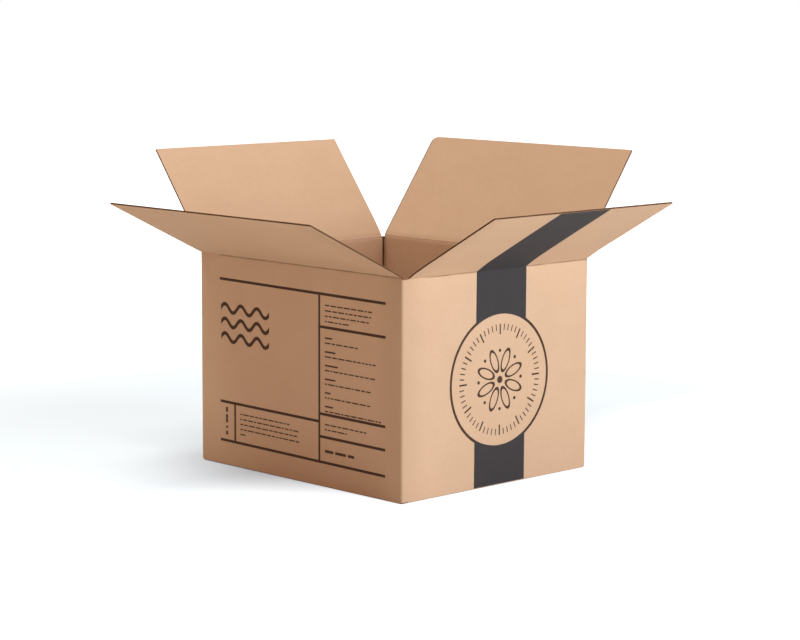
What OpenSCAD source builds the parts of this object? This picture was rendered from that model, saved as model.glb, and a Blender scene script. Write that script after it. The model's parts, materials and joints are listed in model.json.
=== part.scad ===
// Slotted carton of corrugated board: one sheet folded and glued into four walls and a
// closed floor, with four top flaps that swing on their creases.
// Millimetres. +Z is up, +X lies along the box's length and -Y is the front wall.
// The origin is the middle of the floor's outer face.

/* [Box] */
// Outside length, along the walls that carry the main flaps
box_length = 256; // [200:1:360]
// Outside width, along the walls that carry the side flaps
box_width = 224; // [180:1:320]
// Height of the main flaps' crease above the floor's outer face
box_height = 185.8; // [120:0.1:300]

/* [Board] */
// Thickness of the corrugated board
board_t = 1.5; // [1.3:0.1:2.2]
// Thickness of each flat facing sheet
liner_t = 0.25; // [0.2:0.05:0.3]
// Thickness of the fluted middle sheet
medium_t = 0.25; // [0.15:0.05:0.3]
// Distance from one flute crest to the next
flute_pitch = 3.4; // [3:0.1:4.5]
// Width of a flute crest where it is glued to a facing
crest_flat = 0.7; // [0.4:0.1:1]

/* [Flaps] */
// Gap between the two main flaps when they are closed
closing_gap = 4; // [1:0.5:10]
// Gap at the floor's seam, where the two outer floor flaps meet
seam_gap = 0.6; // [0.2:0.1:4]
// Slot that is cut from the front flap at its left and right ends, seen from outside
front_cut = [1.2, 1.2]; // [0.8:0.1:8]
// The same for the right flap
right_cut = [6.7, 2.3]; // [2:0.1:12]
// The same for the back flap
back_cut = [6.8, 1.2]; // [0.8:0.1:8]
// The same for the left flap, whose left end is the sheet's raw edge
left_cut = [5, 3]; // [2:0.1:12]
// Air between a closed main flap and the closed side flaps under it
stack_clearance = 0.1; // [0.05:0.05:0.5]
// Radius of the back flap's bent and worn corner
worn_corner_r = 6; // [0:1:15]

/* [Open positions] */
// Degrees that the front flap leans out beyond upright
front_open = 64; // [0:1:170]
// Degrees that the right flap leans out beyond upright
right_open = 60; // [0:1:170]
// Degrees that the back flap leans out beyond upright
back_open = 36; // [0:1:170]
// Degrees that the left flap leans out beyond upright
left_open = 37; // [0:1:170]

/* [Corners and glued joint] */
// Outside radius of an upright corner fold
corner_r = 2; // [1.5:0.5:4]
// Width of the glue tab, from the back wall's outer face
tab_width = 32; // [20:1:45]
// Thickness of the glue tab, which is crushed as it is glued
tab_t = 1; // [0.6:0.1:1.4]
// Drop of the tab's top and bottom ends below the creases
tab_setback = 8; // [7:1:20]
// Further drop of the tab's ends at its free edge
tab_taper = 10; // [0:1:25]
// Gap between the left wall's raw edge and the back wall
joint_gap = 3; // [1:0.5:3]

/* [Hidden] */

kraft = "#C89B6D";
half_length = box_length / 2;
half_width = box_width / 2;
flap_length = (box_width - closing_gap) / 2;
main_floor_length = (box_width - seam_gap) / 2;
main_fold_z = box_height;
side_fold_z = box_height - board_t - stack_clearance;
inner_corner_r = max(corner_r - board_t, 0.4);
arc_steps = 6;
overcut = 1;

function arc(centre, r, from, to) =
    [for (i = [0 : arc_steps])
        let (a = from + (to - from) * i / arc_steps)
        [centre[0] + r * cos(a), centre[1] + r * sin(a)]];

function reversed(points) = [for (i = [len(points) - 1 : -1 : 0]) points[i]];

function rounded_outline(length, width, r) = concat(
    arc([length / 2 - r, width / 2 - r], r, 0, 90),
    arc([-length / 2 + r, width / 2 - r], r, 90, 180),
    arc([-length / 2 + r, -width / 2 + r], r, 180, 270),
    arc([length / 2 - r, -width / 2 + r], r, 270, 360));

// One floor flap, its bottom crease, its wall and the mitred top crease, as the bent
// sheet's section. The first axis runs inwards from the wall's outer face, the second up.
function folded_section(floor_length, floor_z, fold_z) = concat(
    [[floor_length, floor_z + board_t], [floor_length, floor_z]],
    reversed(arc([board_t, floor_z + board_t], board_t, 180, 270)),
    [[0, fold_z], [board_t, fold_z - board_t], [board_t, floor_z + board_t]]);

module folded_panel(floor_length, floor_z, fold_z, wall_length, cut) {
    translate([cut[0] - wall_length / 2, 0, 0])
        rotate([90, 0, 90])
            linear_extrude(wall_length - cut[0] - cut[1])
                polygon(folded_section(floor_length, floor_z, fold_z));
}

// The place that a wall takes in the plan, between its slots
module wall_strip(turn, wall_distance, wall_length, cut) {
    rotate(turn)
        translate([cut[0] - wall_length / 2, -wall_distance])
            square([wall_length - cut[0] - cut[1], board_t]);
}

// The back wall's end, bent round the left wall to carry the glue tab
module tab_corner() {
    turn_x = -half_length - tab_t + corner_r;
    polygon(concat(
        arc([turn_x, half_width - corner_r], corner_r, 90, 180),
        [[-half_length - tab_t, half_width - left_cut[0]],
         [-half_length + corner_r, half_width - left_cut[0]],
         [-half_length + corner_r, half_width]]));
}

// What is left of the four upright folds between the slots above and below
module corner_folds() {
    difference() {
        union() {
            polygon(rounded_outline(box_length, box_width, corner_r));
            tab_corner();
        }
        polygon(rounded_outline(
            box_length - 2 * board_t, box_width - 2 * board_t, inner_corner_r));
        wall_strip(0, half_width, box_length, front_cut);
        wall_strip(90, half_length, box_width, right_cut);
        wall_strip(180, half_width, box_length, back_cut);
        wall_strip(270, half_length, box_width, left_cut);
    }
}

// The crushed tab on the left wall's outer face. Its first axis is the box's Y.
module glue_tab() {
    root_y = half_width - left_cut[0];
    free_y = half_width - tab_width;
    low_z = 2 * board_t + tab_setback;
    high_z = side_fold_z - tab_setback;
    translate([-half_length - tab_t, 0, 0])
        rotate([90, 0, 90])
            linear_extrude(tab_t)
                polygon([
                    [free_y, low_z + tab_taper], [root_y, low_z],
                    [root_y, high_z], [free_y, high_z - tab_taper]]);
}

module joint_groove() {
    translate([-half_length, half_width - board_t - joint_gap, board_t])
        cube([board_t + overcut, joint_gap, box_height]);
}

module carton() {
    color(kraft)
        difference() {
            union() {
                for (wall = [[0, front_cut], [180, back_cut]])
                    rotate([0, 0, wall[0]])
                        translate([0, -half_width, 0])
                            folded_panel(
                                main_floor_length, 0, main_fold_z, box_length, wall[1]);
                for (wall = [[90, right_cut], [270, left_cut]])
                    rotate([0, 0, wall[0]])
                        translate([0, -half_length, 0])
                            folded_panel(
                                flap_length, board_t, side_fold_z, box_width, wall[1]);
                translate([0, 0, board_t])
                    linear_extrude(side_fold_z - board_t)
                        corner_folds();
                glue_tab();
            }
            joint_groove();
        }
}

// The fluted middle sheet: a band that runs level on each crest and slopes between them
module medium_section(width) {
    halves = ceil(width / flute_pitch) + 1;
    low = liner_t;
    high = board_t - liner_t - medium_t;
    under = [for (k = [-halves : halves], side = [-1, 1])
        [k * flute_pitch / 2 + side * crest_flat / 2, k % 2 == 0 ? high : low]];
    over = [for (p = reversed(under)) [p[0], p[1] + medium_t]];
    intersection() {
        polygon(concat(under, over));
        translate([-width / 2, 0])
            square([width, board_t]);
    }
}

// Section across the flutes, with its outer face on the first axis
module board_section(width) {
    for (y = [0, board_t - liner_t])
        translate([-width / 2, y])
            square([width, liner_t]);
    medium_section(width);
}

// The V that the crease presses into the inner face, so that the flap can close
module crease_mitre(width) {
    rotate([90, 0, 90])
        linear_extrude(width + 2 * overcut, center = true)
            polygon([
                [-overcut, -overcut], [board_t + overcut, -overcut],
                [board_t + overcut, board_t + overcut]]);
}

// What the worn corner has lost, as a square less its quarter disc
module worn_corner(right_end) {
    centre = [right_end - worn_corner_r, flap_length - worn_corner_r];
    translate([0, board_t + overcut, 0])
        rotate([90, 0, 0])
            linear_extrude(board_t + 2 * overcut)
                polygon(concat(
                    arc(centre, worn_corner_r, 0, 90),
                    [[centre[0], flap_length + overcut],
                     [right_end + overcut, flap_length + overcut],
                     [right_end + overcut, centre[1]]]));
}

// A flap standing upright on its crease, with its outer face on the XZ plane
module upright_flap(wall_length, cut) {
    width = wall_length - cut[0] - cut[1];
    translate([(cut[0] - cut[1]) / 2, 0, 0])
        difference() {
            linear_extrude(flap_length)
                board_section(width);
            crease_mitre(width);
        }
}

// Stands a flap on its wall's crease line and leans it out
module on_wall(turn, wall_distance, fold_z, open) {
    rotate([0, 0, turn])
        translate([0, -wall_distance, fold_z])
            rotate([open, 0, 0])
                children();
}

module front_flap() {
    color(kraft)
        on_wall(0, half_width, main_fold_z, front_open)
            upright_flap(box_length, front_cut);
}

module right_flap() {
    color(kraft)
        on_wall(90, half_length, side_fold_z, right_open)
            upright_flap(box_width, right_cut);
}

module back_flap() {
    color(kraft)
        on_wall(180, half_width, main_fold_z, back_open)
            difference() {
                upright_flap(box_length, back_cut);
                if (worn_corner_r > 0) worn_corner(half_length - back_cut[1]);
            }
}

module left_flap() {
    color(kraft)
        on_wall(270, half_length, side_fold_z, left_open)
            upright_flap(box_width, left_cut);
}

carton();
front_flap();
right_flap();
back_flap();
left_flap();
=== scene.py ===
"""Looks of the slotted carton: printed kraft board, folded walls and four fluted flaps."""
import json
import math
import random
from collections import namedtuple

import bmesh
import bpy
import numpy as np
from mathutils import Matrix, Vector


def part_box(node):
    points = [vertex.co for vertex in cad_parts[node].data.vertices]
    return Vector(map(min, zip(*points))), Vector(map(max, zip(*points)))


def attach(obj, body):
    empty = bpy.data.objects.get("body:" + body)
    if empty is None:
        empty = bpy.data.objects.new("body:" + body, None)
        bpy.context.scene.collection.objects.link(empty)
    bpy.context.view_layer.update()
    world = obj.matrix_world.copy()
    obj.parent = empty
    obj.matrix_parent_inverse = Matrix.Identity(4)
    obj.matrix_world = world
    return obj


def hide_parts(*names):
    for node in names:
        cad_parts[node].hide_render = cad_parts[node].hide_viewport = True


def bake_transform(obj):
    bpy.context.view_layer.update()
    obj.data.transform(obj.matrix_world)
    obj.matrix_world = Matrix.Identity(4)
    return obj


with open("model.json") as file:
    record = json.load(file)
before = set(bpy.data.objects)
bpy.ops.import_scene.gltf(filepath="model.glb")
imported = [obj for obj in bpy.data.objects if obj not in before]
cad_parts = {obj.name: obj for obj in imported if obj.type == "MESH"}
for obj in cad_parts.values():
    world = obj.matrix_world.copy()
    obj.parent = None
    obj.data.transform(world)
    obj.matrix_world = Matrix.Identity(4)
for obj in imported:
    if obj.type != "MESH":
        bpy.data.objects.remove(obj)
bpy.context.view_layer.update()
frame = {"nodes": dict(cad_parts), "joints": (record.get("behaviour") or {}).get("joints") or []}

MM = 0.001
TINY = 1e-6

# Board
BOARD = 1.5 * MM
LINER = 0.25 * MM
FLUTE_PITCH = 3.4 * MM
CREST_FLATNESS = 1.25
CORNER_R = 2 * MM
BOTTOM_R = 2 * MM

# Folds
CREASE_CRUSH = 0.3
CREASE_REACH = 1.8 * MM
GROOVE_DEPTH = 0.22 * MM
GROOVE_REACH = 0.7 * MM
WALL_LOW = 5 * MM
WALL_TOP_BELOW_FOLD = 3 * MM
SET_BOW = 0.8 * MM
BOW_AT = 20 * MM

# Floor, joint and worn corner
FLOOR_SEAM = 0.6 * MM
FLOOR_TRIM = 1.2 * MM
FOLD_SAG = 1.1 * MM
SIDE_BOTTOM_R = 0.9 * MM
PAST_BOTTOM_BEND = 1.4 * MM
CLOSING_GAP = 4 * MM
JOINT_GAP = 3 * MM
TAB_T = 1 * MM
TAB_WIDTH = 32 * MM
TAB_SETBACK = 8 * MM
TAB_TAPER = 10 * MM
WORN_R = 6 * MM

# How finely the meshes are divided
SMOOTH_BELOW = 35
CORNER_STEPS = 8
CREASE_STEPS = 8
SLOT_STEPS = 2
PANEL_STEPS = 16
WALL_ROWS = 12
BEND_ROWS = 7
FLOOR_ROWS = 8
FLOOR_COLUMNS = 9
TAB_ROWS = 9
TAB_COLUMNS = 5
LINER_COLUMNS = 33
FLUTE_COLUMNS = 8
BAND_COLUMNS = 25
FLAP_BAND_COLUMNS = 9
RING_STEPS = 96
DOT_STEPS = 20
PETAL_STEPS = 13
WAVE_STEPS = 61
ROW_GAP = 0.2 * MM
NEAR_CREASE_MM = (0.25, 0.6, 1.1, 1.8, 3.0)
ALONG_FLAP_MM = (5, 8, 12, 16, 20, 26, 34, 44, 56, 70, 84, 96)
WORN_CORNER_TURNS = range(0, 91, 15)

# Ink films, and the line widths of the print in millimetres
INK_PROUD = 0.04 * MM
INK_SUNK = 0.03 * MM
BAND_PROUD = 0.05 * MM
RULE = 2.4
FINE_RULE = 2.35

# Front print, in millimetres across from the wall's middle and up from the floor.
# A heading is the length of its bar, and where the row of bars under it ends.
FRONT_RISE = 0.95
FRONT_TILT = -0.0076
FRONT_STRETCH = -0.011
FRAME_LEFT = -101.5
FRAME_RIGHT = 108.3
FRAME_LOW = 19.8
FRAME_HIGH = 164.0
COLUMN = 28.0
SHORT_COLUMN = -81.8
LEFT_SHELF = 54.5
RIGHT_SHELVES = (136.0, 61.4, 41.8)
ROWS_LEFT = 35.0
BAR_SEED = 5
BAR_HEIGHT = 1.15
BAR_GAP = 1.3
BAR_LENGTHS = (2.2, 8.0)
SHORTEST_BAR = 1.5
HEADING_HEIGHT = 1.4
HEADINGS = ((9, 78), (13, 98), (16, 96), (13, 92), (7, 90), (10, 103))
WAVE_SPAN = (-100.0, -36.0)
WAVE_SWELL = 3.6
WAVE_TURNS = 3
WAVE_HALF_LINE = 1.6
WAVE_LEVELS = (138.5, 125.5, 112.5)

# Band and badge, measured in the same way on the right wall.
# A tick is its near end, its far end and half its width.
BAND_AT_FOLD = (-26.7, 33.5)
BAND_AT_FOOT = (-28.2, 33.0)
BAND_DRIFT = 2.4
BAND_DRIFT_REACH = 30 * MM
BAND_SHORT = 0.15 * MM
BADGE_CENTRE = (2.1, 90.55)
BADGE_R = 58.5
BADGE_LINE = 2.5
BADGE_STRETCH = -0.025
TICKS = 60
LONG_TICK_EACH = 5
LONG_TICK = (39.5, 48.5, 0.75)
SHORT_TICK = (43.0, 48.5, 0.5)
PETALS = 8
PETAL_SPAN = (6.5, 29.0)
PETAL_WIDTH = 9.5
PETAL_LINE = 1.3
PETAL_TIP = 2.2 * PETAL_LINE
DOTS_AT = 25.5
DOT_R = 1.5
HUB_R = 3.2

# Painted shade on the front wall, in the pressed creases, in the corner slit and on cut edges. Two
# creases are gone at one end, and then fade in.
FADE = 1 * MM
CREASE_FADES = (("front", -108 * MM, -92 * MM), ("right", -92 * MM, -74 * MM))
FOOT_SHADE = 0.55
FOOT_SHADE_FROM = 60 * MM
FOOT_SHADE_FULL = -2 * MM
ROOT_SHADE = 0.35
CORNER_SHADE = 0.5
CORNER_SHADE_AT = 4 * MM
SHADE_REACH = 34 * MM
SLIT_BEFORE = 1.5 * MM
SLIT_PAST = 0.3 * MM
EDGE_FROM = 0.02 * MM
EDGE_FULL = 0.10 * MM

# Camera, fitted to the photograph's corners
CAMERA_AT = (1.4719, -1.4127, 0.4159)
CAMERA_YAW = 45.998
CAMERA_DOWN = 8.031
CAMERA_ROLL = 0.223
CAMERA_LENS = 105.71
CAMERA_SENSOR = 36.0
CAMERA_REACH = 50.0

# Lamps, each at its azimuth and elevation in degrees round the box
Lamp = namedtuple("Lamp", "name azimuth elevation size power colour")
LAMPS = (
    Lamp("key", 99, 13, (1.6, 1.2), 62, (0.77, 0.89, 1.0)),
    Lamp("top", -20, 76, (1.7, 1.7), 62, (0.83, 0.97, 1.0)),
    Lamp("left_fill", -75, 40, (1.7, 1.7), 4, (0.9, 1.0, 1.0)),
    Lamp("front_fill", -20, 20, (1.7, 1.7), 3.5, (1.0, 0.6, 0.35)),
)
LAMP_AWAY = 2.6
LAMPS_AIM = Vector((0.0, 0.0, 0.12))
WHITE = (1.0, 1.0, 1.0, 1.0)
WORLD_LIGHT = (1.0, 0.5, 0.3, 1.0)
WORLD_STRENGTH = 0.3

# Floor, whose glow starts with a colour at the box and grows by these shares over these spans
FLOOR_WHITE = (0.74, 0.72, 0.70, 1.0)
FLOOR_REACH = 12.0
GLOW_AT_BOX = (0.10, 0.19, 0.25)
GLOW_AWAY = 0.07
GLOW_AWAY_SPAN = (0.0, 70 * MM)
# Painted light: the glow that grows to the right paints out the box's shadow on that side.
GLOW_TO_THE_RIGHT = 0.6
GLOW_RIGHT_SPAN = (-70 * MM, 110 * MM)
GLOW_FAR = 0.9
GLOW_FAR_SPAN = (0.25, 1.2)

Wall = namedtuple("Wall", "name turn distance fold_z half_wall start end open_angle along")


def make_walls():
    """The four walls in order round the sheet, each with its crease and its open flap."""
    carton_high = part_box("carton")[1]
    half = {0: carton_high.x, 90: carton_high.y, 180: carton_high.x, 270: carton_high.y}
    hinges = {j["child"]: j for j in frame["joints"]}
    walls = []
    along = 0.0
    for name in ("left", "front", "right", "back"):
        hinge = hinges[name + "_flap"]
        x, y, z = hinge["pos_m"]
        level = Vector(hinge["axis"])
        turn = round(math.degrees(math.atan2(level.y, level.x))) % 360
        start, end = sorted(level.dot(corner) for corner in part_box(name + "_flap"))
        open_angle = math.radians(-hinge["range_deg"][0] - 90)
        along += half[turn]
        walls.append(Wall(name, math.radians(turn), math.hypot(x, y), z,
                          half[turn], start, end, open_angle, along))
        along += half[turn]
    return {w.name: w for w in walls}


WALLS = make_walls()
SIDE_FOLD = WALLS["right"].fold_z
WALL_TOP = SIDE_FOLD - WALL_TOP_BELOW_FOLD
HALF_LENGTH = WALLS["front"].half_wall
HALF_WIDTH = WALLS["right"].half_wall
FLAP_LENGTH = HALF_WIDTH - CLOSING_GAP / 2
HALF_UP = WALLS["front"].fold_z / 2 / MM


def to_frame(wall, across, out, up):
    """Points from places across a wall, outwards from its crease and up from it."""
    across, out, up = np.broadcast_arrays(across, out, up)
    c, s = math.cos(wall.turn), math.sin(wall.turn)
    y = -(wall.distance + out)
    return np.stack([across * c - y * s, across * s + y * c, wall.fold_z + up], axis=-1)


def sheet_places(along, up, depth):
    """Places in the flat sheet: along it, up from the crease and into the board."""
    return np.stack(np.broadcast_arrays(along, up, depth), axis=-1)


def bow(wall, along):
    """How far a flap's set curve lifts it off its plane, towards its inner face."""
    if wall.name in ("front", "back"):
        return np.zeros_like(along)
    free = np.clip((FLAP_LENGTH - along) / (FLAP_LENGTH - BOW_AT), 0, 1)
    root = np.clip(along / BOW_AT, 0, 1)
    return SET_BOW * np.where(along < BOW_AT, root * (2 - root), free)


def folded(wall, across, along, angle, depth):
    """Points of the sheet near a crease: along is the way past it, angle how far it has bent."""
    near = np.exp(-(along / CREASE_REACH) ** 2)
    groove = GROOVE_DEPTH * np.exp(-(along / GROOVE_REACH) ** 2)
    inner = BOARD * (1 - CREASE_CRUSH * near)
    sunk = groove + depth / BOARD * (inner - groove) + bow(wall, along)
    out = along * np.sin(angle) - sunk * np.cos(angle)
    up = along * np.cos(angle) + sunk * np.sin(angle)
    return to_frame(wall, across, out, up)


class Board:
    """Closed shells of one object, with each point's place in the flat sheet."""

    def __init__(self):
        self.points = []
        self.sheet = []
        self.faces = []
        self.count = 0

    def add(self, points, sheet):
        start = self.count
        points = np.asarray(points, float).reshape(-1, 3)
        self.points.append(points)
        self.sheet.append(np.asarray(sheet, float).reshape(-1, 3))
        self.count += len(points)
        return start

    def shell(self, outer, inner, sheet_outer, sheet_inner, keep=None):
        """A sheet between two grids of points. keep says which cells are there."""
        rows, cols = outer.shape[:2]
        keep = np.ones((rows - 1, cols - 1), bool) if keep is None else keep
        o = self.add(outer, sheet_outer) + np.arange(rows * cols).reshape(rows, cols)
        i = self.add(inner, sheet_inner) + np.arange(rows * cols).reshape(rows, cols)
        padded = np.pad(keep, 1)
        for r, c in zip(*np.nonzero(keep)):
            self.faces.append((o[r, c], o[r, c + 1], o[r + 1, c + 1], o[r + 1, c]))
            self.faces.append((i[r, c], i[r + 1, c], i[r + 1, c + 1], i[r, c + 1]))
            corners = ((r, c), (r, c + 1), (r + 1, c + 1), (r + 1, c))
            beyond = (padded[r, c + 1], padded[r + 1, c + 2],
                      padded[r + 2, c + 1], padded[r + 1, c])
            for k in range(4):
                if not beyond[k]:
                    a, b = corners[k], corners[(k + 1) % 4]
                    self.faces.append((o[b], o[a], i[a], i[b]))

    def prism(self, outer, inner, sheet_outer, sheet_inner):
        """A flat shape with the given outline, as thick as the way between its two faces."""
        n = len(outer)
        o = self.add(outer, sheet_outer)
        i = self.add(inner, sheet_inner)
        self.faces.append(tuple(o + k for k in range(n)))
        self.faces.append(tuple(i + k for k in reversed(range(n))))
        for k in range(n):
            m = (k + 1) % n
            self.faces.append((o + m, o + k, i + k, i + m))

    def make(self, name, material):
        mesh = bpy.data.meshes.new(name)
        mesh.from_pydata(np.concatenate(self.points).tolist(), [], self.faces)
        place = mesh.attributes.new("sheet", "FLOAT_VECTOR", "POINT")
        place.data.foreach_set("vector", np.concatenate(self.sheet).ravel())
        tidy = bmesh.new()
        tidy.from_mesh(mesh)
        loose = [v for v in tidy.verts if not v.link_faces]
        bmesh.ops.delete(tidy, geom=loose, context="VERTS")
        bmesh.ops.recalc_face_normals(tidy, faces=tidy.faces)
        tidy.to_mesh(mesh)
        tidy.free()
        mesh.polygons.foreach_set("use_smooth", [True] * len(mesh.polygons))
        mesh.set_sharp_from_angle(angle=math.radians(SMOOTH_BELOW))
        mesh.materials.append(material)
        obj = bpy.data.objects.new(name, mesh)
        bpy.context.scene.collection.objects.link(obj)
        return obj


class Graph:
    """Short calls for a material's nodes."""

    def __init__(self, name):
        self.material = bpy.data.materials.new(name)
        self.material.use_nodes = True
        self.tree = self.material.node_tree
        self.shader = self.tree.nodes["Principled BSDF"]

    def node(self, kind, inputs=None, **settings):
        made = self.tree.nodes.new(kind)
        for key, value in settings.items():
            setattr(made, key, value)
        for key, value in (inputs or {}).items():
            self.put(made.inputs[key], value)
        return made

    def put(self, socket, value):
        if isinstance(value, bpy.types.NodeSocket):
            self.tree.links.new(value, socket)
        else:
            socket.default_value = value

    def math(self, operation, *values):
        inputs = dict(enumerate(values))
        return self.node("ShaderNodeMath", inputs, operation=operation).outputs[0]

    def step(self, value, low, high):
        """Rises smoothly from 0 at low to 1 at high."""
        inputs = {"Value": value, "From Min": low, "From Max": high}
        made = self.node("ShaderNodeMapRange", inputs, interpolation_type="SMOOTHSTEP")
        return made.outputs["Result"]

    def scaled(self, vector, factors):
        inputs = {0: vector, 1: factors}
        return self.node("ShaderNodeVectorMath", inputs, operation="MULTIPLY").outputs[0]

    def noise(self, vector, scale, detail, roughness):
        inputs = {"Vector": vector, "Scale": scale, "Detail": detail, "Roughness": roughness}
        return self.node("ShaderNodeTexNoise", inputs).outputs["Fac"]

    def mix(self, factor, a, b, blend="MIX"):
        made = self.node("ShaderNodeMix", data_type="RGBA", blend_type=blend)
        self.put(made.inputs["Factor"], factor)
        self.put(made.inputs["A"], a)
        self.put(made.inputs["B"], b)
        return made.outputs["Result"]

    def stain(self, tone, value, span, share, colour):
        """Lays up to a share of a colour over a tone, where a value passes through a span."""
        return self.mix(self.math("MULTIPLY", self.step(value, *span), share), tone, colour)

    def sheet_place(self):
        """A point's place in the flat sheet, whole and in its parts."""
        place = self.node("ShaderNodeAttribute", attribute_name="sheet").outputs["Vector"]
        return place, self.node("ShaderNodeSeparateXYZ", {0: place})

    def set(self, **values):
        for key, value in values.items():
            self.put(self.shader.inputs[key.replace("_", " ")], value)


def rgb(r, g, b):
    return (r, g, b, 1.0)


KRAFT = rgb(0.64, 0.425, 0.27)
KRAFT_DEEP = rgb(0.56, 0.36, 0.22)
KRAFT_LIGHT = rgb(0.70, 0.475, 0.315)
PAINTED_SHADE_BROWN = rgb(0.50, 0.315, 0.19)
FIBRE_DARK = rgb(0.38, 0.22, 0.12)
INNER_LINER = rgb(0.90, 0.855, 0.825)
FLAP_WARM_BOUNCE = rgb(0.97, 0.93, 0.885)
DEEP_SHADE = rgb(0.105, 0.045, 0.018)
SHADED_EDGE_FIBRES = rgb(0.29, 0.135, 0.06)
CREASE_SHADE = rgb(0.24, 0.115, 0.055)
INK = rgb(0.042, 0.037, 0.038)
INK_THIN = rgb(0.058, 0.050, 0.048)
LINE_INK = rgb(0.066, 0.035, 0.021)
LINE_INK_THIN = rgb(0.088, 0.048, 0.028)
FIBRES_PER_M = (420.0, 1900.0, 5000.0)
FIBRE_RELIEF = 0.035 * MM
CLOUD_RELIEF = 0.05 * MM
FLUTE_RELIEF = 0.006 * MM


def paper_relief(g, place, parts):
    """Bump of the liner: fibres, clouds and the faint washboard of the flutes below."""
    fibres = g.noise(g.scaled(place, FIBRES_PER_M), 1.0, 3.0, 0.6)
    clouds = g.noise(place, 90.0, 2.0, 0.5)
    turns = g.math("MULTIPLY", parts.outputs["X"], math.tau / FLUTE_PITCH)
    washboard = g.math("SINE", turns)
    fine = g.math("MULTIPLY", fibres, FIBRE_RELIEF)
    broad = g.math("MULTIPLY", clouds, CLOUD_RELIEF)
    ribs = g.math("MULTIPLY", washboard, FLUTE_RELIEF)
    height = g.math("ADD", g.math("ADD", fine, broad), ribs)
    bump = g.node("ShaderNodeBump", {"Height": height, "Strength": 1.0, "Distance": 1.0})
    return bump.outputs["Normal"], fibres, washboard


def crease_shade_line(g, place, parts, depth):
    """How dark the crease's outer groove is: painted shade in the groove along with darker pressed
    paper, uneven along its length, and gone at some of its ends.
    """
    x = parts.outputs["X"]
    from_crease = g.math("ABSOLUTE", parts.outputs["Y"])
    outside = g.step(depth, 0.3 * MM, 0.1 * MM)
    valley = g.math("MULTIPLY", g.step(from_crease, 1.2 * MM, 0.2 * MM), outside)
    uneven = g.noise(g.scaled(place, (1.0, 0.0, 0.0)), 45.0, 2.0, 0.5)
    pressed = g.math("MULTIPLY_ADD", g.step(uneven, 0.3, 0.7), 0.35, 0.45)
    line = g.math("MULTIPLY", valley, pressed)
    for name, gone, full in CREASE_FADES:
        middle = WALLS[name].along
        start = middle - WALLS[name].half_wall
        past_gone = g.step(x, middle + gone, middle + full)
        before = g.step(x, start + FADE, start - FADE)
        line = g.math("MULTIPLY", line, g.math("MAXIMUM", past_gone, before))
    return line


def warm_bounce_front_flap(g, parts):
    """Where the sheet is the front flap, painted a shade warmer for the warm light bounced onto
    it.
    """
    front = WALLS["front"]
    aside = g.math("ABSOLUTE", g.math("SUBTRACT", parts.outputs["X"], front.along))
    on_front = g.step(aside, front.half_wall + FADE, front.half_wall)
    return g.math("MULTIPLY", on_front, g.step(parts.outputs["Y"], 0.0, FADE))


def painted_shade_front(g, parts):
    """Painted shade: darker along the front wall's foot, near its flap's root and towards its fold
    to the right.
    """
    x = parts.outputs["X"]
    y = parts.outputs["Y"]
    fold = WALLS["front"].along + WALLS["front"].half_wall
    low = g.step(y, FOOT_SHADE_FROM - WALL_TOP, FOOT_SHADE_FULL - WALL_TOP)
    foot = g.math("MULTIPLY", low, FOOT_SHADE)
    near_root = g.math("MULTIPLY", g.step(y, SHADE_REACH, 0.0), g.step(y, 0.0, FADE))
    root = g.math("MULTIPLY", near_root, ROOT_SHADE)
    on_front = g.step(x, fold + FADE, fold - FADE)
    shaded = g.math("MULTIPLY", g.math("MAXIMUM", foot, root), on_front)
    away = g.math("ABSOLUTE", g.math("SUBTRACT", x, fold - CORNER_SHADE_AT))
    corner = g.math("MULTIPLY", g.step(away, SHADE_REACH, 0.0), CORNER_SHADE)
    return g.math("MAXIMUM", shaded, corner)


def joint_slit_shade(g, parts, inner_face):
    """Painted shade in the slit inside the glued corner, where the board bends behind the raw
    edge.
    """
    corner = WALLS["back"].along + WALLS["back"].half_wall - BOARD
    slit = g.step(parts.outputs["X"], corner - SLIT_BEFORE, corner + SLIT_PAST)
    return g.math("MULTIPLY", slit, inner_face)


def liner_tone(g, place, fibres, washboard):
    """Brown paper with clouds, mottling, dark and light fibres, and a hint of the flutes."""
    clouds = g.noise(g.scaled(place, (1.0, 1.6, 40.0)), 22.0, 3.0, 0.55)
    mottle = g.noise(g.scaled(place, (1.0, 1.4, 40.0)), 210.0, 3.0, 0.6)
    tone = g.mix(g.step(clouds, 0.35, 0.65), KRAFT_DEEP, KRAFT_LIGHT)
    tone = g.mix(0.88, tone, KRAFT)
    tone = g.stain(tone, mottle, (0.42, 0.72), 0.20, KRAFT_DEEP)
    tone = g.stain(tone, fibres, (0.60, 0.78), 0.25, FIBRE_DARK)
    tone = g.stain(tone, fibres, (0.42, 0.25), 0.30, KRAFT_LIGHT)
    return g.stain(tone, washboard, (-0.2, 1.0), 0.07, KRAFT_DEEP)


def shaded_cut_edge(g, place, depth):
    """Where the board is cut through and open between its liners: painted shade of the flutes,
    with ragged fibres.
    """
    from_outside = g.step(depth, EDGE_FROM, EDGE_FULL)
    from_inside = g.step(depth, BOARD - EDGE_FROM, BOARD - EDGE_FULL)
    ragged = g.noise(g.scaled(place, (1.0, 1.0, 3.0)), 900.0, 2.0, 0.6)
    colour = g.mix(g.step(ragged, 0.3, 0.7), DEEP_SHADE, SHADED_EDGE_FIBRES)
    return g.math("MULTIPLY", from_outside, from_inside), colour


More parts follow.
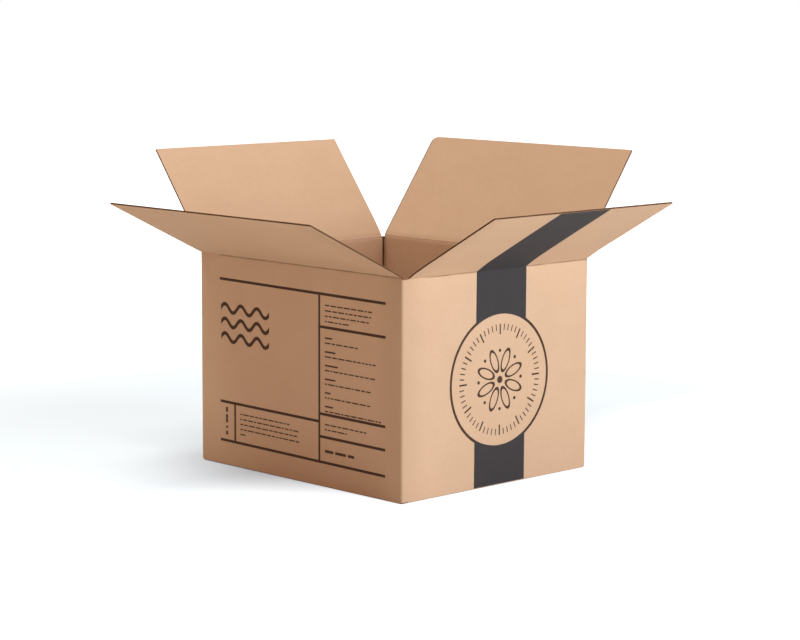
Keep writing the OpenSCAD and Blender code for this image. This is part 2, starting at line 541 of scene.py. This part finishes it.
def kraft_material():
    """The board: its liner, tinted inside, with painted warm bounce on the front flap, and painted
    shade on the front wall, in the pressed creases, in the corner slit and on the cut edges.
    """
    g = Graph("kraft_board")
    place, parts = g.sheet_place()
    normal, fibres, washboard = paper_relief(g, place, parts)
    depth = parts.outputs["Z"]
    inner_face = g.step(depth, BOARD / 2, BOARD - LINER)
    tone = liner_tone(g, place, fibres, washboard)
    tone = g.mix(inner_face, tone, g.mix(1.0, tone, INNER_LINER, "MULTIPLY"))
    # Painted warm bounce light over the front flap.
    tone = g.mix(warm_bounce_front_flap(g, parts), tone, g.mix(1.0, tone, FLAP_WARM_BOUNCE, "MULTIPLY"))
    # Painted shade on the front wall's foot, its flap's root and its right fold.
    tone = g.mix(painted_shade_front(g, parts), tone, PAINTED_SHADE_BROWN)
    # Painted shade in the creases' outer groove, with darker pressed paper.
    tone = g.mix(crease_shade_line(g, place, parts, depth), tone, CREASE_SHADE)
    # Painted shade in the slit of the glued corner.
    tone = g.mix(joint_slit_shade(g, parts, inner_face), tone, DEEP_SHADE)
    # Painted shade inside the board and on its cut edges, with ragged fibres.
    cut, edge = shaded_cut_edge(g, place, depth)
    tone = g.mix(cut, tone, edge)
    g.set(Base_Color=tone, Roughness=0.82, Normal=normal, Specular_IOR_Level=0.28)
    return g.material


def ink_material(name, tone, thin):
    """Matt ink that lets a little of the paper through."""
    g = Graph(name)
    place, parts = g.sheet_place()
    normal, fibres = paper_relief(g, place, parts)[:2]
    cover = g.noise(g.scaled(place, (1.0, 1.3, 1.0)), 700.0, 3.0, 0.6)
    shade = g.mix(g.step(cover, 0.45, 0.75), tone, thin)
    shade = g.stain(shade, fibres, (0.70, 0.80), 0.25, KRAFT_DEEP)
    g.set(Base_Color=shade, Roughness=0.8, Normal=normal, Specular_IOR_Level=0.15)
    return g.material


Station = namedtuple("Station", "x y nx ny thick along fold_z slot")


def plan(wall, across, inward):
    """A place in the plan, from how far it is across a wall and inwards from its outer face."""
    c, s = math.cos(wall.turn), math.sin(wall.turn)
    y = inward - wall.distance
    return across * c - y * s, across * s + y * c


def straight_run(ring, wall, start, end, steps, slot):
    """Adds the stations on a flat stretch of a wall. A slot has no panel above or below it."""
    if end - start < TINY:
        return
    along = ring[-1].along if ring else wall.along + start
    first = 1 if ring else 0
    for k in range(first, steps + 1):
        share = k / steps
        x, y = plan(wall, start + (end - start) * share, 0.0)
        ring.append(Station(x, y, math.sin(wall.turn), -math.cos(wall.turn), BOARD,
                            along + (end - start) * share, wall.fold_z, slot))


def corner_run(ring, wall, following, flat_end, thick_end):
    """Adds the stations on an upright fold, where a panel may reach a little way round."""
    centre = plan(wall, flat_end, CORNER_R)
    along = ring[-1].along
    next_flat = following.half_wall - CORNER_R
    for k in range(1, CORNER_STEPS + 1):
        share = k / CORNER_STEPS
        a = wall.turn - math.pi / 2 + math.pi / 2 * share
        middle = math.pi / 2 * (k - 0.5) / CORNER_STEPS
        on_wall = flat_end + CORNER_R * math.sin(middle) < wall.end
        on_next = -next_flat - CORNER_R * math.cos(middle) > following.start
        ring.append(Station(centre[0] + CORNER_R * math.cos(a), centre[1] + CORNER_R * math.sin(a),
                            math.cos(a), math.sin(a), BOARD + (thick_end - BOARD) * share,
                            along + CORNER_R * math.pi / 2 * share,
                            wall.fold_z + (following.fold_z - wall.fold_z) * share,
                            not (on_wall or on_next)))


def ring_stations():
    """Round the four walls, from the left wall's raw edge to the root of the glue tab."""
    order = [WALLS[name] for name in ("left", "front", "right", "back")]
    ring = []
    for wall, following in zip(order, order[1:] + order[:1]):
        first, last = wall is order[0], wall is order[-1]
        flat = wall.half_wall - CORNER_R
        flat_start = -(HALF_WIDTH - BOARD - JOINT_GAP) if first else -flat
        flat_end = flat + TAB_T if last else flat
        panel = max(wall.start, flat_start), min(wall.end, flat_end)
        straight_run(ring, wall, flat_start, panel[0], SLOT_STEPS, True)
        straight_run(ring, wall, *panel, PANEL_STEPS, False)
        straight_run(ring, wall, panel[1], flat_end, SLOT_STEPS, True)
        corner_run(ring, wall, following, flat_end, TAB_T if last else BOARD)
    root_y = -WALLS["left"].start
    last = ring[-1]
    return ring + [last._replace(y=root_y, along=last.along + last.y - root_y)]


def wall_ring(board):
    """Walls and upright folds as one bent strip, with the slots left out of it."""
    ring = ring_stations()
    z = np.concatenate([[BOARD], np.linspace(WALL_LOW, WALL_TOP, WALL_ROWS), [SIDE_FOLD]])
    flat = np.array([[s.x, s.y] for s in ring])
    normal = np.array([[s.nx, s.ny] for s in ring])
    thick = np.array([s.thick for s in ring])
    along = np.array([s.along for s in ring])
    fold = np.array([s.fold_z for s in ring])
    shape = (len(z), len(ring))
    heights = np.broadcast_to(z[:, None], shape)

    def grid(depth):
        x, y = (flat - normal * depth[:, None]).T
        return np.stack(np.broadcast_arrays(x, y, heights), axis=-1)

    def sheet(depth):
        return sheet_places(along, heights - fold, depth)

    keep = np.ones((shape[0] - 1, shape[1] - 1), bool)
    slot = np.array([s.slot for s in ring[1:]])
    keep[0] = slot
    keep[-1] = slot
    board.shell(grid(thick * 0), grid(thick), sheet(0), sheet(BOARD), keep)


def floor_flap(board, wall, floor_z, length, radius, sag, trim):
    """A wall's bottom fold and floor flap. A side wall's fold sags past the main flap's end."""
    turn_at = floor_z - sag + radius
    angles = np.radians(np.linspace(0, 90, BEND_ROWS))
    inward = np.linspace(radius + PAST_BOTTOM_BEND, length, FLOOR_ROWS)
    out = np.concatenate([[0.0, 0.0], -radius * (1 - np.cos(angles)), -inward])
    up = np.concatenate([[WALL_LOW, turn_at + ROW_GAP], turn_at - radius * np.sin(angles),
                         np.full(FLOOR_ROWS, floor_z)])
    lean = np.concatenate([[0, 0], angles, np.full(FLOOR_ROWS, math.pi / 2)])
    step = np.hypot(np.diff(out), np.diff(up))
    along = WALL_LOW - wall.fold_z - np.concatenate([[0], np.cumsum(step)])
    across = np.linspace(wall.start, wall.end, FLOOR_COLUMNS)
    trimmed = np.clip(across, wall.start + trim, wall.end - trim)
    across = np.where(out[:, None] < -TINY, trimmed, across)

    def grid(depth):
        inset = out - depth * np.cos(lean)
        raised = up + depth * np.sin(lean) - wall.fold_z
        return to_frame(wall, across, inset[:, None], raised[:, None])

    def sheet(depth):
        return sheet_places(wall.along + across, along[:, None], depth)

    board.shell(grid(0), grid(BOARD), sheet(0), sheet(BOARD))


def glue_tab(board):
    """The crushed tab on the left wall's outer face, tapered towards its free end."""
    root_y = -WALLS["left"].start
    share = np.linspace(0, 1, TAB_COLUMNS)
    y = root_y + (HALF_WIDTH - TAB_WIDTH - root_y) * share
    low = 2 * BOARD + TAB_SETBACK + TAB_TAPER * share
    high = SIDE_FOLD - TAB_SETBACK - TAB_TAPER * share
    rise = np.linspace(0, 1, TAB_ROWS)[:, None]
    z = low + (high - low) * rise
    along = 4 * (HALF_LENGTH + HALF_WIDTH) + root_y - y

    def grid(depth):
        return np.stack(np.broadcast_arrays(depth - HALF_LENGTH - TAB_T, y, z), axis=-1)

    def sheet(depth):
        return sheet_places(along, z - SIDE_FOLD, depth)

    board.shell(grid(0), grid(TAB_T), sheet(0), sheet(BOARD))


def make_carton(material):
    """The walls, the floor flaps and the glue tab, as one bent sheet."""
    board = Board()
    wall_ring(board)
    for name in ("front", "back"):
        floor_flap(board, WALLS[name], 0.0, HALF_WIDTH - FLOOR_SEAM / 2, BOTTOM_R, 0.0,
                   FLOOR_TRIM)
    for name in ("left", "right"):
        floor_flap(board, WALLS[name], BOARD, FLAP_LENGTH, SIDE_BOTTOM_R, FOLD_SAG, 0.0)
    glue_tab(board)
    piece = board.make("carton_board", material)
    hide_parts("carton")
    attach(piece, "carton")


def crease_rows(wall, first):
    """How far past the crease and how far bent each row of a flap's sheet is."""
    near = np.array(NEAR_CREASE_MM) * MM
    wall_rows = -near[near < -first - ROW_GAP][::-1]
    worn_rows = FLAP_LENGTH - WORN_R * np.cos(np.radians(WORN_CORNER_TURNS))
    flap_rows = np.concatenate([near, np.array(ALONG_FLAP_MM) * MM, worn_rows])
    bend = wall.open_angle * np.linspace(0, 1, CREASE_STEPS + 1)
    along = np.concatenate([[first], wall_rows, np.zeros(len(bend)), flap_rows])
    angle = np.concatenate([np.zeros(1 + len(wall_rows)), bend,
                            np.full(len(flap_rows), wall.open_angle)])
    return along, angle


def far_end(wall, along):
    """Where a flap's side edge is: straight, apart from the back flap's worn corner."""
    if wall.name != "back":
        return np.full_like(along, wall.end)
    past = np.clip(along - (FLAP_LENGTH - WORN_R), 0, WORN_R)
    return wall.end - WORN_R + np.sqrt(WORN_R ** 2 - past ** 2)


def liner_shell(board, wall, along, angle, depths):
    """One facing of a flap, from the wall's top over the crease to the free edge."""
    share = np.linspace(0, 1, LINER_COLUMNS)
    across = wall.start + share * (far_end(wall, along)[:, None] - wall.start)
    rows, bent = along[:, None], angle[:, None]

    def grid(depth):
        return folded(wall, across, rows, bent, depth)

    def sheet(depth):
        return sheet_places(wall.along + across, rows, depth)

    board.shell(grid(depths[0]), grid(depths[1]), sheet(depths[0]), sheet(depths[1]))


def medium_shell(board, wall, along, angle):
    """The fluted middle sheet of a flap, glued to both facings at its crests."""
    flutes = (wall.end - wall.start) / FLUTE_PITCH
    across = np.linspace(wall.start, wall.end, int(flutes * FLUTE_COLUMNS) + 1)
    swing = (BOARD - 3 * LINER) / 2
    from_crest = across - (wall.start + wall.end) / 2
    phase = np.clip(CREST_FLATNESS * np.cos(math.tau * from_crest / FLUTE_PITCH), -1, 1)
    middle = BOARD / 2 + swing * phase
    rows, bent = along[:, None], angle[:, None]

    def grid(depth):
        return folded(wall, across[None, :], rows, bent, depth[None, :])

    def sheet(depth):
        return sheet_places(wall.along + across, rows, depth)

    low, high = middle - LINER / 2, middle + LINER / 2
    middle_of_cell = (across[1:] + across[:-1]) / 2
    keep = middle_of_cell[None, :] < far_end(wall, along)[1:, None]
    board.shell(grid(low), grid(high), sheet(low), sheet(high), keep)


def blend_at_crease(piece, wall):
    """Bakes the transform of a piece that crosses a crease into its mesh; the crease ends that it
    works out go unused.
    """
    half = wall.open_angle / 2
    reach = BOARD * math.sin(half)
    tangent = (math.sin(half), math.cos(half))
    ends = [to_frame(wall, 0.0, side * reach * tangent[0], side * reach * tangent[1])
            for side in (-1, 1)]
    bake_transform(piece)


def make_flap(name, material):
    """A flap's two facings and its fluted middle, bent over the crease."""
    wall = WALLS[name]
    first = WALL_TOP - wall.fold_z
    along, angle = crease_rows(wall, first)
    board = Board()
    liner_shell(board, wall, along, angle, (0.0, LINER))
    liner_shell(board, wall, along, angle, (BOARD - LINER, BOARD))
    medium_shell(board, wall, along, angle)
    piece = board.make(name + "_flap_board", material)
    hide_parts(name + "_flap")
    blend_at_crease(piece, wall)


class Print:
    """Thin films of ink on one wall, drawn in millimetres across it and up from the floor."""

    def __init__(self, wall, proud=INK_PROUD, rise=0.0, tilt=0.0, stretch=0.0):
        self.wall = wall
        self.board = Board()
        self.proud = proud
        self.rise, self.tilt, self.stretch = rise, tilt, stretch

    def faces(self, points):
        """The film's outer and sunk points for places on the wall, and their sheet places."""
        points = np.asarray(points, float)
        off = self.rise + self.tilt * points[..., 0] + self.stretch * (points[..., 1] - HALF_UP)
        across = points[..., 0] * MM
        up = (points[..., 1] + off) * MM - self.wall.fold_z
        sheet = sheet_places(self.wall.along + across, up, 0.0)
        return (to_frame(self.wall, across, self.proud, up),
                to_frame(self.wall, across, -INK_SUNK, up), sheet, sheet)

    def shape(self, points):
        self.board.prism(*self.faces(points))

    def bar(self, left, right, low, high):
        self.shape([(left, low), (right, low), (right, high), (left, high)])

    def level_rule(self, left, right, height):
        self.bar(left, right, height - RULE / 2, height + RULE / 2)

    def upright_rule(self, across, low, high):
        """A finer rule that stands between two level ones."""
        self.bar(across - FINE_RULE / 2, across + FINE_RULE / 2, low + RULE / 2, high - RULE / 2)

    def strip(self, one_side, other_side):
        """A stroke between two matching lists of points."""
        self.board.shell(*self.faces([one_side, other_side]))

    def ring(self, centre, radius, width):
        a = np.linspace(0, math.tau, RING_STEPS + 1)
        sides = [np.stack([centre[0] + r * np.cos(a), centre[1] + r * np.sin(a)], axis=-1)
                 for r in (radius - width / 2, radius + width / 2)]
        self.strip(*sides)

    def disc(self, centre, radius):
        a = np.linspace(0, math.tau, DOT_STEPS, endpoint=False)
        x = centre[0] + radius * np.cos(a)
        self.shape(np.stack([x, centre[1] + radius * np.sin(a)], axis=-1))

    def finish(self, name, material):
        piece = self.board.make(name, material)
        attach(piece, "carton")


def bar_row(ink, pick, left, right, low):
    """A row of plain bars of uneven length, with small gaps."""
    x = left
    while x < right - SHORTEST_BAR:
        length = min(pick.uniform(*BAR_LENGTHS), right - x)
        ink.bar(x, x + length, low, low + BAR_HEIGHT)
        x += length + BAR_GAP


def bar_rows(ink, pick, left, first, pitch, ends):
    """Rows of bars under one another, from the height of the first and where each one ends."""
    for k, end in enumerate(ends):
        bar_row(ink, pick, left, end, first - pitch * k)


def front_rules(ink):
    """The frame's long rules, its two columns and the shelves between them."""
    for height in (FRAME_HIGH, FRAME_LOW):
        ink.level_rule(FRAME_LEFT, FRAME_RIGHT, height)
    ink.upright_rule(COLUMN, FRAME_LOW, FRAME_HIGH)
    ink.level_rule(FRAME_LEFT, COLUMN - FINE_RULE / 2, LEFT_SHELF)
    for height in RIGHT_SHELVES:
        ink.level_rule(COLUMN + FINE_RULE / 2, FRAME_RIGHT, height)
    ink.upright_rule(SHORT_COLUMN, FRAME_LOW, LEFT_SHELF)


def front_bars(ink):
    """The fields' rows of bars, some of them under a thicker heading bar."""
    pick = random.Random(BAR_SEED)
    bar_rows(ink, pick, ROWS_LEFT, 154.2, 4.6, (94, 92, 90, 66))
    for k, (heading, end) in enumerate(HEADINGS):
        height = 126.2 - 11.7 * k
        ink.bar(ROWS_LEFT, ROWS_LEFT + heading, height, height + HEADING_HEIGHT)
        bar_row(ink, pick, ROWS_LEFT, end, height - 4.1)
    bar_rows(ink, pick, ROWS_LEFT, 52.2, 4.4, (88, 62))
    bar_rows(ink, pick, -74.8, 45.4, 4.5, (-10, 4, 2, 3, -66))
    for start, end in ((35.0, 45.5), (47.8, 61.0), (63.3, 71.0)):
        ink.bar(start, end, 28.6, 31.0)
    for start, end in ((25.0, 28.5), (31.0, 33.0), (36.0, 43.5), (45.5, 50.0)):
        ink.bar(-94.2, -91.6, start, end)


def front_waves(ink):
    """Three wavy lines under one another in the largest field."""
    x = np.linspace(*WAVE_SPAN, WAVE_STEPS)
    swell = WAVE_SWELL * np.sin((x - x[0]) / (x[-1] - x[0]) * WAVE_TURNS * math.tau)
    half = WAVE_HALF_LINE / np.cos(np.arctan(np.gradient(swell, x)))
    for height in WAVE_LEVELS:
        lower = np.stack([x, height + swell - half], axis=-1)
        upper = np.stack([x, height + swell + half], axis=-1)
        ink.strip(lower, upper)


def make_front_print(material):
    """Ruled fields and rows of plain bars, with three waves in the largest field."""
    ink = Print(WALLS["front"], rise=FRONT_RISE, tilt=FRONT_TILT, stretch=FRONT_STRETCH)
    front_rules(ink)
    front_bars(ink)
    front_waves(ink)
    ink.finish("front_print", material)


def petal(centre, angle):
    """The two edges of a leaf-shaped stroke that points away from the centre."""
    t = np.linspace(0, 1, PETAL_STEPS)
    near, far = PETAL_SPAN
    middle, length = (near + far) / 2, (far - near) / 2
    width = PETAL_WIDTH / 2
    sides = []
    for half_length, half_width in ((length, width), (length - PETAL_TIP, width - PETAL_LINE)):
        along = middle + half_length * np.cos(math.pi * t)
        aside = half_width * np.sin(math.pi * t)
        x = np.concatenate([along, along[::-1]])
        y = np.concatenate([aside, -aside[::-1]])
        c, s = math.cos(angle), math.sin(angle)
        sides.append(np.stack([centre[0] + x * c - y * s, centre[1] + x * s + y * c], axis=-1))
    return sides


def make_badge(material):
    """A ring round a circle of ticks and a rosette, where the band is broken."""
    ink = Print(WALLS["right"], stretch=BADGE_STRETCH)
    ink.ring(BADGE_CENTRE, BADGE_R, BADGE_LINE)
    for k in range(TICKS):
        a = math.tau * k / TICKS
        inner, outer, half = SHORT_TICK if k % LONG_TICK_EACH else LONG_TICK
        c, s = math.cos(a), math.sin(a)
        corners = [(inner, -half), (outer, -half), (outer, half), (inner, half)]
        ink.shape([(BADGE_CENTRE[0] + r * c - h * s, BADGE_CENTRE[1] + r * s + h * c)
                   for r, h in corners])
    for k in range(PETALS):
        angle = math.tau * (k + 0.5) / PETALS
        ink.strip(*petal(BADGE_CENTRE, angle))
        between = math.tau * k / PETALS
        ink.disc((BADGE_CENTRE[0] + DOTS_AT * math.cos(between),
                  BADGE_CENTRE[1] + DOTS_AT * math.sin(between)), DOT_R)
    ink.disc(BADGE_CENTRE, HUB_R)
    ink.finish("badge_print", material)


def band_across(share, height):
    """Places from the band's left edge to its right one, at a share of the wall's height."""
    left, right = (foot + (fold - foot) * height
                   for foot, fold in zip(BAND_AT_FOOT, BAND_AT_FOLD))
    return left + (right - left) * share


def make_wall_band(material):
    """The dark band on its wall, above the badge and below it."""
    wall = WALLS["right"]
    ink = Print(wall, proud=BAND_PROUD)
    edge = BADGE_R - BADGE_LINE / 2
    squash = 1 + BADGE_STRETCH
    fold = wall.fold_z / MM
    top = fold - WALL_TOP_BELOW_FOLD / MM
    foot = (BOARD - FOLD_SAG + SIDE_BOTTOM_R) / MM
    share = np.linspace(0, 1, BAND_COLUMNS)
    for side, end in ((1, top), (-1, foot)):
        x = band_across(share, (BADGE_CENTRE[1] + side * edge) / fold)
        rise = squash * np.sqrt(edge ** 2 - (x - BADGE_CENTRE[0]) ** 2)
        arc = np.stack([x, BADGE_CENTRE[1] + side * rise], axis=-1)
        x = band_across(share, end / fold)
        ink.strip(arc, np.stack([x, np.full_like(x, end)], axis=-1))
    ink.finish("band_print", material)


def make_flap_band(material):
    """The rest of the band, over the crease and along the flap, where it drifts aside."""
    wall = WALLS["right"]
    along, angle = crease_rows(wall, -WALL_TOP_BELOW_FOLD)
    along[-1] -= BAND_SHORT
    rows, bent = along[:, None], angle[:, None]
    drift = BAND_DRIFT * (1 - np.exp(-np.clip(rows, 0, None) / BAND_DRIFT_REACH))
    share = np.linspace(0, 1, FLAP_BAND_COLUMNS)[None, :]
    across = (band_across(share, 1 + np.minimum(rows, 0) / wall.fold_z) - drift) * MM
    sheet = sheet_places(wall.along + across, rows, 0.0)
    board = Board()
    board.shell(folded(wall, across, rows, bent, -BAND_PROUD),
                folded(wall, across, rows, bent, INK_SUNK), sheet, sheet)
    piece = board.make("band_print_flap", material)
    blend_at_crease(piece, wall)


def look_from(place, yaw, down, roll):
    """A camera's matrix from its place and three angles in degrees."""
    yaw, down, roll = (math.radians(a) for a in (yaw, down, roll))
    ahead = Vector((-math.sin(yaw) * math.cos(down), math.cos(yaw) * math.cos(down),
                    -math.sin(down)))
    level = Vector((math.cos(yaw), math.sin(yaw), 0.0))
    upright = level.cross(ahead)
    right = level * math.cos(roll) + upright * math.sin(roll)
    up = upright * math.cos(roll) - level * math.sin(roll)
    turn = Matrix((right, up, -ahead)).transposed().to_4x4()
    return Matrix.Translation(Vector(place)) @ turn


def make_camera():
    data = bpy.data.cameras.new("camera")
    data.lens = CAMERA_LENS
    data.sensor_width = CAMERA_SENSOR
    data.clip_end = CAMERA_REACH
    camera = bpy.data.objects.new("camera", data)
    camera.matrix_world = look_from(CAMERA_AT, CAMERA_YAW, CAMERA_DOWN, CAMERA_ROLL)
    bpy.context.scene.collection.objects.link(camera)
    bpy.context.scene.camera = camera


def make_lamp(lamp):
    """A soft rectangular lamp that faces the middle of the box."""
    a, e = math.radians(lamp.azimuth), math.radians(lamp.elevation)
    towards = Vector((math.sin(a) * math.cos(e), -math.cos(a) * math.cos(e), math.sin(e)))
    data = bpy.data.lights.new(lamp.name, "AREA")
    data.shape = "RECTANGLE"
    data.size, data.size_y = lamp.size
    data.energy = lamp.power
    data.color = lamp.colour
    made = bpy.data.objects.new(lamp.name, data)
    made.location = LAMPS_AIM + LAMP_AWAY * towards
    made.rotation_mode = "QUATERNION"
    made.rotation_quaternion = (-towards).to_track_quat("-Z", "Y")
    bpy.context.scene.collection.objects.link(made)


def seen_directly(tree):
    """1 for rays from the camera and for those that gloss or glass sends on."""
    path = tree.nodes.new("ShaderNodeLightPath")
    total = path.outputs["Is Camera Ray"]
    for other in ("Is Glossy Ray", "Is Transmission Ray"):
        both = tree.nodes.new("ShaderNodeMath")
        both.operation = "MAXIMUM"
        tree.links.new(total, both.inputs[0])
        tree.links.new(path.outputs[other], both.inputs[1])
        total = both.outputs[0]
    return total


def make_world():
    """A faint warm light from all round, behind plain white where it is seen."""
    world = bpy.data.worlds.new("studio")
    bpy.context.scene.world = world
    world.use_nodes = True
    tree = world.node_tree
    light = tree.nodes["Background"]
    light.inputs["Color"].default_value = WORLD_LIGHT
    light.inputs["Strength"].default_value = WORLD_STRENGTH
    white = tree.nodes.new("ShaderNodeBackground")
    white.inputs["Color"].default_value = WHITE
    white.inputs["Strength"].default_value = 1.0
    choose = tree.nodes.new("ShaderNodeMixShader")
    tree.links.new(seen_directly(tree), choose.inputs[0])
    tree.links.new(light.outputs[0], choose.inputs[1])
    tree.links.new(white.outputs[0], choose.inputs[2])
    tree.links.new(choose.outputs[0], tree.nodes["World Output"].inputs["Surface"])


def floor_glow(g):
    """Painted light that lifts the seen floor to white: least in the box's shadow at its left and
    front, more towards the right, where it paints the shadow out, and most far from the box.
    """
    place = g.node("ShaderNodeTexCoord").outputs["Object"]
    parts = g.node("ShaderNodeSeparateXYZ", {0: place})
    beyond = []
    for axis, half in (("X", HALF_LENGTH), ("Y", HALF_WIDTH)):
        past = g.math("SUBTRACT", g.math("ABSOLUTE", parts.outputs[axis]), half)
        beyond.append(g.math("MAXIMUM", past, 0.0))
    away = g.math("SQRT", g.math("ADD", *[g.math("MULTIPLY", d, d) for d in beyond]))
    total = g.math("MULTIPLY", g.step(away, *GLOW_AWAY_SPAN), GLOW_AWAY)
    for value, span, share in ((parts.outputs["X"], GLOW_RIGHT_SPAN, GLOW_TO_THE_RIGHT),
                               (away, GLOW_FAR_SPAN, GLOW_FAR)):
        total = g.math("ADD", total, g.math("MULTIPLY", g.step(value, *span), share))
    grey = g.node("ShaderNodeCombineXYZ", {0: total, 1: total, 2: total}).outputs[0]
    return g.node("ShaderNodeVectorMath", {0: grey, 1: GLOW_AT_BOX}, operation="ADD").outputs[0]


def make_floor():
    """A white floor, lifted to white where it is seen by a painted glow, that keeps the soft
    shadow at the box's left and front.
    """
    g = Graph("floor")
    tree = g.tree
    tree.nodes.remove(g.shader)
    diffuse = g.node("ShaderNodeBsdfDiffuse", {"Color": FLOOR_WHITE})
    glow = g.node("ShaderNodeEmission", {"Color": floor_glow(g), "Strength": seen_directly(tree)})
    both = g.node("ShaderNodeAddShader", {0: diffuse.outputs[0], 1: glow.outputs[0]})
    tree.links.new(both.outputs[0], tree.nodes["Material Output"].inputs["Surface"])
    corners = [(x * FLOOR_REACH, y * FLOOR_REACH, 0)
               for x, y in ((-1, -1), (1, -1), (1, 1), (-1, 1))]
    mesh = bpy.data.meshes.new("floor")
    mesh.from_pydata(corners, [], [(0, 1, 2, 3)])
    mesh.materials.append(g.material)
    floor = bpy.data.objects.new("floor", mesh)
    bpy.context.scene.collection.objects.link(floor)


kraft = kraft_material()
ink = ink_material("dark_ink", INK, INK_THIN)
line_ink = ink_material("line_ink", LINE_INK, LINE_INK_THIN)
make_carton(kraft)
for flap in ("front", "right", "back", "left"):
    make_flap(flap, kraft)
make_front_print(line_ink)
make_badge(line_ink)
make_wall_band(ink)
make_flap_band(ink)
make_camera()
make_world()
for lamp in LAMPS:
    make_lamp(lamp)
make_floor()
for node in frame["nodes"].values():
    node.data.materials.clear()
    node.data.materials.append(kraft)
bpy.context.scene.view_settings.view_transform = "Standard"
